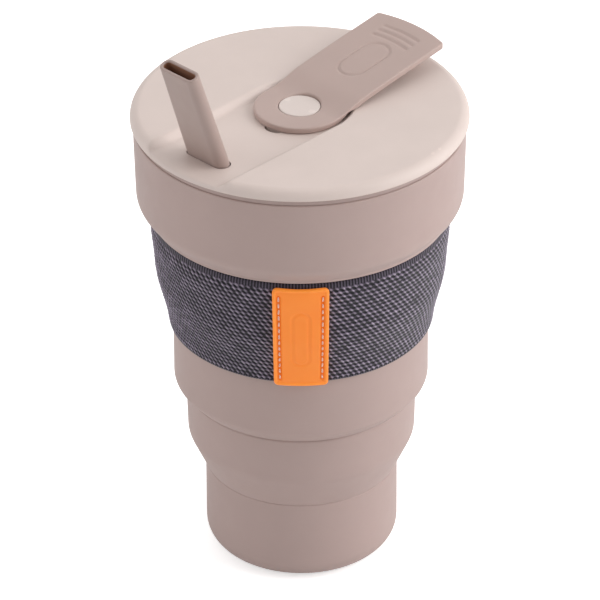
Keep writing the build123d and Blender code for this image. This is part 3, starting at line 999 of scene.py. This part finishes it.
def weave_relief(ribs, rib, row):
    """Height, 0 to 1, of the woven threads: slanted ribs over level cross threads."""
    rib_off = np.minimum(rib, 1 - rib)
    row_off = np.abs(row - np.round(row))
    rib_thread = np.sqrt(np.clip(1 - (rib_off / 0.27) ** 2, 0, 1))
    row_thread = np.sqrt(np.clip(1 - (row_off / 0.24) ** 2, 0, 1))
    beads = 0.72 + 0.28 * np.cos(2 * math.pi * row)
    passes = 0.58 + 0.14 * np.cos(2 * math.pi * rib)
    column = np.arange(rib.shape[1]) * ribs // rib.shape[1]
    uneven = CHANCE.normal(0, 0.09, (int(row.max()) + 2, ribs))
    uneven = uneven[np.round(row[:, 0]).astype(int)][:, column]
    return np.maximum(rib_thread * (beads + uneven), row_thread * (passes + uneven))


def hem_relief(angle, row, ribs):
    """Height, 0 to 1, of the plain edges: fine upright threads."""
    # Its low level also paints both hems darker through the weave's colour, standing in for the shade
    # the rim casts on the top hem.
    return 0.38 + 0.17 * np.cos(angle * ribs * 2) + 0.06 * np.cos(row * 2 * math.pi * 3)


def sleeve_grid(radius, turn, heights, shear, bottom):
    """Points of a sheared grid round the sleeve, one row for each height."""
    angle = turn[None, :] - shear * (heights[:, None] - bottom)
    level = np.broadcast_to(heights[:, None], angle.shape)
    return np.stack([radius * np.cos(angle), radius * np.sin(angle), level], -1)


def elastic_sleeve():
    """A woven tube with two plain hems and a slack lower edge."""
    bottom = low("elastic_sleeve") - SLEEVE_SAG
    top = high("elastic_sleeve")
    wide = reach("elastic_sleeve")
    ribs = round(2 * math.pi * wide / WEAVE_PERIOD)
    around = ribs * RIB_POINTS
    count = round((top - bottom) / (WEAVE_ROW / 6.5))
    z = np.linspace(bottom, top, count)
    turn = np.arange(around) * 2 * math.pi / around
    shear = WEAVE_SHEAR / wide
    angle = turn[None, :] - shear * (z[:, None] - bottom)
    rib = np.broadcast_to((np.arange(around) / RIB_POINTS % 1.0)[None, :], (count, around))
    row = (z[:, None] - bottom) / WEAVE_ROW
    relief = weave_relief(ribs, rib, row)
    relief = relief + CHANCE.normal(0, 0.035, relief.shape)
    to_top = top - z[:, None]
    to_bottom = z[:, None] - bottom
    top_hem = ease((HEM_TOP - to_top) / (0.5 * MM) + 0.5)
    bottom_hem = ease((HEM_BOTTOM - to_bottom) / (0.4 * MM) + 0.5)
    hem = np.maximum(top_hem, bottom_hem)
    relief = np.clip(relief * (1 - hem) + hem_relief(angle, row, ribs) * hem, 0, 1.05)
    edge = np.clip(np.minimum(to_top, to_bottom) / (0.5 * MM), 0, 1)
    tuck = 0.35 * MM * (1 - np.sqrt(1 - (1 - edge) ** 2))
    slack = 0.12 * MM * np.sin(3 * turn + 0.7) + 0.08 * MM * np.sin(7 * turn + 2.1)
    slack = slack[None, :] * ease(to_top / (8 * MM)) * 0.6
    radius = sleeve_radius(z)[:, None] - WEAVE_RELIEF * (0.9 - relief) - tuck + slack
    outer = sleeve_grid(radius, turn, z, shear, bottom)
    inner_rows = np.linspace(top, bottom, 18)
    inner_radius = (sleeve_radius(inner_rows) - 1.1 * MM)[:, None]
    inner = sleeve_grid(inner_radius, turn, inner_rows, shear, bottom)
    points = np.concatenate([outer, inner]).reshape(-1, 3)
    here = np.arange(count + len(inner_rows))[:, None] * around + np.arange(around)[None, :]
    right = np.roll(here, -1, axis=1)
    above = np.roll(here, -1, axis=0)
    faces = np.stack([here, right, np.roll(right, -1, axis=0), above], -1).reshape(-1, 4)
    piece = make_piece("elastic_sleeve_weave", points, faces.tolist(), sleeve_weave, 80)
    flat_inside = np.full((len(inner_rows), around), 0.45)
    # The weave's material paints shade and highlight from this relief.
    mark(piece, "relief", np.concatenate([relief, flat_inside]).ravel())
    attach(piece, "sleeve")
    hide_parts("elastic_sleeve")


def on_front(x, height, out):
    """Wrap a front view onto the sleeve: x is the arc from the middle of the front."""
    base = sleeve_radius(np.clip(height, low("elastic_sleeve"), high("elastic_sleeve")))
    below = np.clip(low("elastic_sleeve") - height, 0, None)
    base = base - 0.12 * below
    radius = base + out
    angle = x / base
    return np.column_stack([radius * np.sin(angle), -radius * np.cos(angle), height])


def label_half(height):
    """Half of the label's width at a height."""
    bottom, top = low("sleeve_label"), high("sleeve_label")
    wide = half_width("sleeve_label")
    return wide * (0.925 + 0.045 * (height - bottom) / (top - bottom))


def groove_depth(x, height):
    """Depth, 0 to 1, of the label's two stitch grooves."""
    bottom, top = low("sleeve_label") + 2.6 * MM, high("sleeve_label") - 2.6 * MM
    along = np.clip(bottom - height, 0, None) + np.clip(height - top, 0, None)
    off = np.hypot(np.abs(x) - (label_half(height) - GROOVE_INSET), along)
    return 1 - ease((off - 0.3 * MM) / (0.45 * MM))


def label_border(x, height):
    """1 on the label's raised border and 0 on its face."""
    bottom, top = low("sleeve_label") + LABEL_RAISE, high("sleeve_label") + LABEL_RAISE
    inner_edge = np.minimum(label_half(height) - np.abs(x), np.minimum(height - bottom, top - height))
    return 1 - ease((inner_edge - 0.7 * MM) / (0.5 * MM))


def label_mark(x, height):
    """Depth, 0 to 1, of the plain obround pressed into the label's middle."""
    middle = (low("sleeve_label") + high("sleeve_label")) / 2
    off = obround_line(height, x, middle, 19 * MM, 4.6 * MM)
    return 1 - ease((off - 0.25 * MM) / (0.4 * MM))


def sleeve_label():
    """A soft patch with a raised border, two stitch grooves and a plain pressed obround."""
    bottom = low("sleeve_label") + LABEL_RAISE
    top = high("sleeve_label") + LABEL_RAISE
    outline = rounded([
        (-label_half(bottom), bottom, LABEL_ROUND),
        (label_half(bottom), bottom, LABEL_ROUND),
        (label_half(top), top, LABEL_ROUND),
        (-label_half(top), top, LABEL_ROUND),
    ], 9)
    loop = closer(np.vstack([outline, outline[:1]]), 0.5 * MM)[:-1]
    dip = 0.2 * MM * ease((loop[:, 1] - top + 4 * MM) / (4 * MM))
    loop[:, 1] -= dip * np.cos(np.clip(loop[:, 0] / label_half(top), -1, 1) * math.pi / 2) ** 2

    def heights(x, y):
        front = LABEL_THICK * (0.74 + 0.26 * label_border(x, y))
        front = front - 0.5 * MM * groove_depth(x, y) - 0.22 * MM * label_mark(x, y)
        return front, np.full_like(x, 0.05 * MM)

    piece, flat = pillow("sleeve_label_patch", [loop], heights, 0.5 * MM, 0.26 * MM,
                         on_front, orange_rubber)
    across, up = flat[:, 0], flat[:, 1]
    # Painted shade in the stitch grooves and the pressed obround, and more lightly over the face inside
    # the raised border.
    sunk = np.maximum(groove_depth(across, up), 0.3 * label_mark(across, up))
    sunk = np.maximum(sunk, 0.36 * (1 - label_border(across, up)))
    mark(piece, "sunk", np.concatenate([sunk, 0 * sunk]))
    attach(piece, "sleeve")
    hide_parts("sleeve_label")


def label_stitching(side, name, node):
    """Short arched stitches in one groove."""
    first = low("sleeve_label") + 3.4 * MM
    last = high("sleeve_label") - 3.2 * MM
    points = []
    faces = []
    for height in np.linspace(first, last, STITCHES):
        tilt = CHANCE.normal(0, 0.05)
        length = 0.78 * MM * CHANCE.uniform(0.88, 1.08)
        rings, around = 9, 10
        start = len(points)
        for i in range(rings + 1):
            t = math.pi * i / rings
            along = -math.cos(t) * length
            size = 0.25 * MM * math.sin(t) ** 0.6 if 0 < i < rings else 0.02 * MM
            arch = 0.72 * MM + 0.16 * MM * math.sin(t)
            for k in range(around):
                a = 2 * math.pi * k / around
                x = side * (label_half(height) - GROOVE_INSET) + size * math.cos(a) + tilt * along
                out = arch + size * 0.8 * math.sin(a)
                points.append(on_front(np.array([x]), np.array([height + along]), out)[0])
        for i in range(rings):
            for k in range(around):
                m = (k + 1) % around
                a, b = start + i * around, start + (i + 1) * around
                faces.append((a + k, b + k, b + m, a + m))
        faces.append(tuple(start + k for k in range(around)))
        faces.append(tuple(start + rings * around + k for k in range(around))[::-1])
    piece = make_piece(name, points, faces, pale_thread, 60)
    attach(piece, "sleeve")
    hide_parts(node)


# ---- studio ----
def studio():
    """A white floor, a soft surround and three large soft lights."""
    bpy.ops.mesh.primitive_plane_add(size=30, location=(0, 0, -0.0002))
    floor = bpy.context.object
    floor.name = "studio_floor"
    material, tree, shader = node_tree("floor_paper")
    cloud = remap(tree, noise(tree, 3, 2), 0.3, 0.7, 0, 1)
    tree.links.new(mixed(tree, cloud, (0.9, 0.9, 0.9), (0.93, 0.93, 0.93)), shader.inputs["Base Color"])
    shader.inputs["Roughness"].default_value = 0.9
    shader.inputs["Specular IOR Level"].default_value = 0.0
    shader.inputs["Emission Color"].default_value = (1, 1, 1, 1)
    seen = tree.nodes.new("ShaderNodeLightPath").outputs["Is Camera Ray"]
    tree.links.new(remap(tree, seen, 0, 1, 0, 0.55), shader.inputs["Emission Strength"])
    floor.data.materials.append(material)

    world = bpy.data.worlds.new("surround")
    bpy.context.scene.world = world
    world.use_nodes = True
    tree = world.node_tree
    place = tree.nodes.new("ShaderNodeTexCoord")
    split = tree.nodes.new("ShaderNodeSeparateXYZ")
    tree.links.new(place.outputs["Generated"], split.inputs["Vector"])
    glow = remap(tree, split.outputs["Y"], -1.0, 0.6, 0.27, 0.76)
    tree.links.new(glow, tree.nodes["Background"].inputs["Strength"])
    tree.nodes["Background"].inputs["Color"].default_value = (1.0, 0.995, 0.99, 1)

    for name, where, size, power in (
        ("light_right", (1.3, -0.25, 0.75), 1.2, 16),
        ("light_left", (-1.3, -0.35, 0.65), 1.2, 4.9),
        ("light_top", (0.1, 0.3, 1.7), 1.3, 3.4),
    ):
        lamp = bpy.data.lights.new(name, "AREA")
        lamp.energy = power
        lamp.size = size
        light = bpy.data.objects.new(name, lamp)
        light.location = where
        aim = Vector((0, 0, 0.08)) - Vector(where)
        light.rotation_euler = aim.to_track_quat("-Z", "Y").to_euler()
        bpy.context.scene.collection.objects.link(light)


def camera():
    """A long lens from the front, looking down at the cup."""
    elevation = math.radians(31.73)
    distance = 1.805
    target = Vector((-0.00019, 0, 0.07950))
    where = target + distance * Vector((0, -math.cos(elevation), math.sin(elevation)))
    lens = bpy.data.cameras.new("camera")
    lens.sensor_width = 36
    lens.lens = 374.5
    view = bpy.data.objects.new("camera", lens)
    aim = (target - where).to_track_quat("-Z", "Y").to_matrix().to_4x4()
    roll = Matrix.Rotation(math.radians(-0.3), 4, "Z")
    view.matrix_world = Matrix.Translation(where) @ aim @ roll
    bpy.context.scene.collection.objects.link(view)
    bpy.context.scene.camera = view


cup_stretches()
mouth_collar()
lid()
lid_seal()
pivot_button()
strap()
straw()
elastic_sleeve()
sleeve_label()
label_stitching(-1, "label_stitches_left", "label_stitching_left")
label_stitching(1, "label_stitches_right", "label_stitching_right")
frame["nodes"]["pivot_clip"].data.materials.clear()
frame["nodes"]["pivot_clip"].data.materials.append(clip_plastic)
studio()
camera()
bpy.context.scene.view_settings.view_transform = "Standard"
